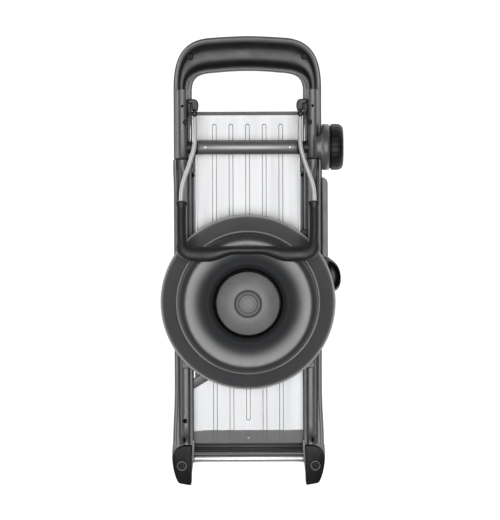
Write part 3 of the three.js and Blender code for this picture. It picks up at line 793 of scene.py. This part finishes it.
def build_leg():
    wire = swept("wire_frame", leg_path(8), lambda p: (WIRE_RADIUS, WIRE_RADIUS, 0), 20)
    piece(wire, "wire", "leg", ("leg_wire",))
    covered = [p for p in leg_path(8) if p.y < COLLAR_Y]
    sleeve = swept("rubber_sleeve", covered, sleeve_section, 32)
    piece(bevelled(sleeve, 0.8, 3, 60), "sleeve", "leg", ("leg_sleeve",))

    def eye(side, word):
        ring = [(r, side * x) for r, x in ((2.5, 47.2), (3.6, 47.2), (3.9, 47.6), (3.9, 49.8), (3.6, 50.2),
                                           (2.5, 50.2))]
        turned = lathe(f"wire_eye_{word}", ring, (0, PIVOT.y, PIVOT.z), "x", 48)
        piece(turned, "dark", "leg")
        low, high = corners(f"leg_pin_{word}")
        span = (low.x - SYM_X, high.x - SYM_X)
        pin = rod(f"pivot_pin_{word}", "x", 2.0, span, (PIVOT.y, PIVOT.z), 32, 0.4)
        piece(pin, "black", "root", (f"leg_pin_{word}",))

    both_sides(eye)


# ---------------------------------------------------------------- food holder
HOLDER_AXIS = (HOLDER.x - SYM_X, HOLDER.y, 0)


def build_holder_shell():
    """The brim, dome and skirt in one, a pale bead on each edge as a painted highlight, and a near-black
    floor round the knob as painted shade in the well.
    """
    brim = through([(81.0, 31.0), (81.0, 32.2), (80.4, 32.6), (79.2, 32.4), (73, 34.2), (65.2, 36.6)], 4)
    wall = [(64.2, 36.9), (63.9, 38), (63.9, 56.6), (63.8, 57.0)]
    dome = through([(63.5, 57.3), (62.4, 58.3), (61.0, 59.4), (59.4, 60.3), (57.5, 60.85), (55.5, 61.0),
                    (53, 60.85), (50, 60.4), (47, 59.7), (44, 58.7), (41, 57.2), (38, 54.9), (35, 51.7),
                    (32.4, 48.1)], 5)
    under = [(32.0, 47.0), (35, 50.0), (38, 53.0), (41, 55.2), (44, 56.7), (49, 58.3), (53, 59),
             (58, 58.6), (61.4, 56.6), (62.5, 50), (62.6, 33), (47.5, 32.4), (47.5, 20.2), (47.9, 20),
             (49.1, 20), (49.5, 20.4), (49.5, 30.4), (80.6, 30.4)]
    profile = [tuple(p) for p in brim] + wall + [tuple(p) for p in dome] + under
    shell = lathe("holder_body", profile, HOLDER_AXIS, "z", 200)
    piece(shell, "holder", "food_holder", ("holder_shell",))
    # Pale beads on the shoulder and brim edges: painted highlights in a light plastic.
    bead = 0.7
    around = [math.pi * i / 8 for i in range(16)]
    for name, r, z in (("shoulder_highlight_bead", 65.7, 36.6), ("brim_highlight_bead", 80.3, 32.5)):
        section = [(r + bead * math.cos(a), z + bead * math.sin(a)) for a in around]
        piece(lathe(name, section, HOLDER_AXIS, "z", 200), "rim", "food_holder")
    # A near-black ring under the gap round the knob: painted shade in the well.
    floor = lathe("well_shade_floor", [(30.0, 42), (34, 42), (34, 43), (30.0, 43)], HOLDER_AXIS, "z", 128)
    piece(floor, "painted_shade", "food_holder")


def build_plunger_knob():
    """The knob in the well, with a near-black ring round its button as painted shade in the groove."""
    top = corners("plunger_knob")[1].z
    crown = through([(13.0, top - 0.1), (17, top - 0.5), (21, top - 1.4), (25, top - 2.9), (28, top - 4.8),
                     (28.9, top - 6.2), (29.0, top - 9)], 5)
    cup = [(0, top - 1.8), (12.0, top - 1.8), (12.5, top - 1.4), (12.8, top - 0.3)]
    cup += [tuple(p) for p in crown] + [(29.0, 29.6), (27.0, 29.6), (27.0, top - 6), (0, top - 3.6)]
    knob = lathe("knob_crown", cup, HOLDER_AXIS, "z", 144)
    piece(knob, "knob", "plunger", ("plunger_knob",))
    # A black disc under the button: painted shade in the groove round it.
    groove = lathe("knob_groove_shade", [(0, top - 1.7), (12.4, top - 1.7), (12.4, top - 1.1), (0, top - 1.1)],
                   HOLDER_AXIS, "z", 96)
    piece(groove, "black", "plunger")
    cap = [(0, top + 0.6), (8.0, top + 0.6), (8.5, top + 0.3), (8.6, top - 1.3), (9.1, top - 1.3),
           (9.2, top), (9.5, top + 0.3), (10.2, top + 0.3), (10.5, top), (10.6, top - 1.5), (0, top - 1.5)]
    button = lathe("knob_button", cap, HOLDER_AXIS, "z", 96)
    piece(button, "knob", "plunger", ("plunger_cap",))


# ---------------------------------------------------------------- blade cassette and side slider
def build_cassette_grip():
    low, high = corners("cassette_grip")
    outline = [(74.3, 3)]
    outline += bezier([(74.3, 3), (83, 0.5), (86.3, -8), (86.3, -15.5)], 14)
    outline += bezier([(86.3, -15.5), (86.3, -22), (84.5, -27.6), (78, -27.8)], 10)
    outline += [(74.3, -27.8), (74.3, -18), (74.3, -8)]
    cx, cy = 78.6, -12.6
    rings = []
    for scale, z in ((0.97, low.z), (1, low.z + 1), (1, high.z - 2), (0.985, high.z - 0.8),
                     (0.94, high.z - 0.1), (0.88, high.z), (0.82, high.z - 0.4), (0.76, high.z - 1.6),
                     (0.66, high.z - 3.2), (0.45, high.z - 4.4), (0.2, high.z - 4.8)):
        rings.append([at(cx + (x - cx) * scale, cy + (y - cy) * scale, z) for x, y in outline])
    grip = plain("pull_grip", *loft(rings))
    piece(grip, "grip", "blade_cassette", ("cassette_grip",))
    neck = bevelled(block("pull_grip_neck", (69.4, 76), (-27, 3.4), (6, 23)), 0.6, 3, 40)
    piece(neck, "dark", "blade_cassette")


def build_bed():
    """The slanted beam behind the blade, its top falling away from the cassette."""
    section = [(-25.1, 6), (-25.1, 12.2), (-24.7, 13.1), (-23.9, 13.4), (-17.8, 14.9), (-17.1, 14.6),
               (-16.9, 13.8), (-16.9, 6)]
    half = corners("blade_bed")[1].x - SYM_X + BED_TO_RAIL
    slope, cosine = math.tan(BLADE_ANGLE), math.cos(BLADE_ANGLE)
    rings = [[in_blade_frame(x / cosine + v * slope, v, z) for v, z in section] for x in (-half, half)]
    piece(plain("slanted_bed", *loft(rings)), "frame", "root", ("blade_bed",))


def build_cassette_trim():
    """Two bright strips along the cassette's top."""
    for name, across in (("cassette_trim_low", (-14.6, -13.7)), ("cassette_trim_high", (-9.4, -8.7))):
        outline = rectangle((-64, 74), across)
        rings = [[in_blade_frame(u, v, z) for u, v in outline] for z in (15.6, 16.35)]
        strip = bevelled(plain(name, *loft(rings)), 0.15, 2, 35)
        piece(strip, "blade", "blade_cassette")


def build_selector():
    low, high = corners("julienne_selector")
    outline = [(68.9, low.y), (74.2, low.y)]
    outline += bezier([(74.2, 71), (74.2, 77.2), (69.4, high.y)], 8) + [(68.9, high.y)]
    plate = bevelled(prism("side_slider", outline, low.z, high.z), 0.8, 4, 50)
    piece(plate, "frame", "julienne_slider", ("julienne_selector",))


# ---------------------------------------------------------------- small fittings of the rails
def build_pits():
    """Near-black floors in the screw holes and slots: painted shade."""
    def painted_shade(name, xs, ys, zs):
        piece(bevelled(block(name, xs, ys, zs), 0.1, 1, 35), "painted_shade", "root")

    def pair(side, word):
        painted_shade(f"slot_floor_{word}", (side * 58.5, side * 60.8), (-167.9, -163.7), (20.4, 25.2))
        hole = rod(f"hole_floor_{word}", "z", 1.25, (24.6, 29.6), mirrored(side, FRAME_HOLE_AT), 24, 0.1)
        piece(hole, "painted_shade", "root")

    both_sides(pair)
    hole = rod("rail_hole_floor", "z", 2.05, (21.8, 29.2), LEFT_RAIL_HOLE_AT, 32, 0.1)
    piece(hole, "painted_shade", "root")


def build_guides():
    """Channels beside the runway, their steel edges and clips."""
    def pair(side, word):
        start = -6 if side > 0 else -60
        channel = block(f"guide_channel_{word}", (side * 48.5, side * 51.0), (start, 95.8), (4, 19))
        piece(bevelled(channel, 0.25, 2, 35), "frame", "root")
        strip = block(f"channel_edge_{word}", (side * 52.1, side * 53.2), (111.5, 127), (20, 24.5))
        piece(bevelled(strip, 0.3, 2, 35), "blade", "root")
        ear = block(f"pivot_plate_{word}", (side * 52.1, side * 53.0), (131.8, 146), (20.2, 39))
        piece(bevelled(ear, 0.35, 2, 35), "dark", "root")
        clip = rod(f"guide_clip_{word}", "y", 1.2, (83.4, 87.6), (side * 50.9, 23), 24, 0.4)
        piece(clip, "tab", "root")
        # The stop is drawn in the same near-black as the painted shade.
        stop = block(f"guide_stop_{word}", (side * 49.2, side * 51.2), (78.8, 81.8), (19, 24.6))
        piece(bevelled(stop, 0.3, 2, 35), "painted_shade", "root")

    both_sides(pair)
    boss = rod("guide_boss", "z", 2.7, (20, 26.4), BOSS_AT, 40, 0.6)
    recess = rod("boss_recess", "z", 1.3, (25.4, 28), BOSS_AT, 24, 0.1)
    piece(carved(boss, recess), "dark", "root")


def build_brackets():
    """The two blocks that hold the leg's pivots, with a pale strip on top as a painted highlight."""
    def pair(side, word):
        outline = [(54.6, 146.6), (54.6, 150.6), (49.5, 150.6)]
        outline += bezier([(49.5, 150.6), (45.2, 150.6), (45.0, 146.5), (45.2, 143.4)], 8)
        outline += [(46.0, 139.4), (51.3, 139.4), (51.6, 146.4)]
        outline = [(side * x, y) for x, y in outline]
        body = bevelled(prism(f"leg_pivot_block_{word}", outline, 20.3, 31), 0.9, 4, 35)
        piece(body, "dark", "root", (f"leg_bracket_{word}",))
        # A pale strip along the block's top edge: a painted highlight.
        lip = block(f"pivot_block_highlight_{word}", (side * 47.9, side * 53.6), (148.2, 148.9), (30, 31.25))
        piece(bevelled(lip, 0.2, 2, 35), "tab", "root")

    both_sides(pair)


# ---------------------------------------------------------------- CAD nodes that keep their shape
KEPT = {
    "cassette_body": "dark",
    "slicing_blade": "blade",
    "julienne_bar": "dark",
    "julienne_teeth": "blade",
    "guide_rod_left": "chrome",
    "guide_rod_right": "chrome",
    "rail_tab_left": "tab",
    "rail_tab_right": "tab",
    "infeed_carrier_left": "dark",
    "infeed_carrier_right": "dark",
    "dial_shaft": "dark",
    "lift_cam_left": "dark",
    "lift_cam_right": "dark",
    "plunger_platen": "dark",
    "prong_plate": "blade",
    "plunger_spring": "chrome",
}


def dress_kept_nodes():
    for name, material in KEPT.items():
        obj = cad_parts[name]
        obj.data.materials.clear()
        obj.data.materials.append(MATERIAL[material])
        add_bevel(obj, 0.25, 2, 40)


# ---------------------------------------------------------------- stage
def area_light(name, place, aim, size, power):
    data = bpy.data.lights.new(name, "AREA")
    data.shape = "RECTANGLE"
    data.size, data.size_y = size
    data.energy = power
    lamp = bpy.data.objects.new(name, data)
    bpy.context.scene.collection.objects.link(lamp)
    lamp.location = place
    lamp.rotation_euler = (Vector(aim) - Vector(place)).to_track_quat("-Z", "Y").to_euler()


def build_world(scene):
    """A dim studio: pale behind the floor, dark in the reflections beside the softbox."""
    world = bpy.data.worlds.new("studio")
    scene.world = world
    world.use_nodes = True
    tree = world.node_tree
    around = tree.nodes["Background"]
    around.inputs["Color"].default_value = (1, 1, 1, 1)
    around.inputs["Strength"].default_value = 0.09
    backdrop = node(tree, "ShaderNodeBackground", Color=(1, 1, 1, 1), Strength=0.92)
    rays = node(tree, "ShaderNodeLightPath")
    either = node(tree, "ShaderNodeMixShader")
    tree.links.new(rays.outputs["Is Camera Ray"], either.inputs[0])
    tree.links.new(around.outputs[0], either.inputs[1])
    tree.links.new(backdrop.outputs[0], either.inputs[2])
    tree.links.new(either.outputs[0], tree.nodes["World Output"].inputs["Surface"])


def build_floor():
    """A pale floor, just clear of the rails' lower edges so that the two don't flicker."""
    size, drop = 0.8, 0.0002
    span = (-size, size)
    floor = plain("floor", [(x, y, 0) for x, y in rectangle(span, span)], [(0, 1, 2, 3)])
    floor.location.z = -drop
    mat = bpy.data.materials.new("pale_floor")
    mat.use_nodes = True
    shader = mat.node_tree.nodes["Principled BSDF"]
    shader.inputs["Base Color"].default_value = (0.85, 0.85, 0.85, 1)
    shader.inputs["Roughness"].default_value = 0.9
    shader.inputs["Emission Color"].default_value = (1, 1, 1, 1)
    shader.inputs["Emission Strength"].default_value = 0.85
    floor.data.materials.append(mat)


def build_camera(scene):
    """Looks down on the slicer from slightly towards the handle."""
    camera = bpy.data.cameras.new("camera")
    rig = bpy.data.objects.new("camera", camera)
    scene.collection.objects.link(rig)
    distance, tilt, view_width = 2.0, math.radians(2.5), 0.4638
    roll = math.radians(-0.2)
    aim = Vector((-0.00145, 0.0017, 0.024))
    rig.location = aim + distance * Vector((0, math.sin(tilt), math.cos(tilt)))
    rig.rotation_euler = (-tilt, 0, roll)
    sensor = 36
    camera.sensor_fit = "HORIZONTAL"
    camera.sensor_width = sensor
    camera.lens = sensor * distance / view_width
    scene.camera = rig


def build_stage():
    """Two soft lights: a large one overhead and a faint one from beyond the handle."""
    scene = bpy.context.scene
    scene.view_settings.view_transform = "Standard"
    build_world(scene)
    build_floor()
    area_light("overhead", (0, -0.06, 2.2), (0, 0, 0), (1.6, 1.6), 31)
    area_light("handle_end_fill", (0, 1.85, 1.6), (0, 0, 0), (1.8, 0.55), 0.5)
    build_camera(scene)


build_grip()
build_upper_frame()
build_screws()
both_sides(build_rail)
both_sides(build_foot)
build_end_bars()
build_infeed()
build_outfeed()
build_dial()
build_cross_tube()
build_leg()
build_holder_shell()
build_plunger_knob()
build_cassette_grip()
build_selector()
build_bed()
build_cassette_trim()
build_pits()
build_guides()
build_brackets()
dress_kept_nodes()
build_stage()

bpy.context.view_layer.update()
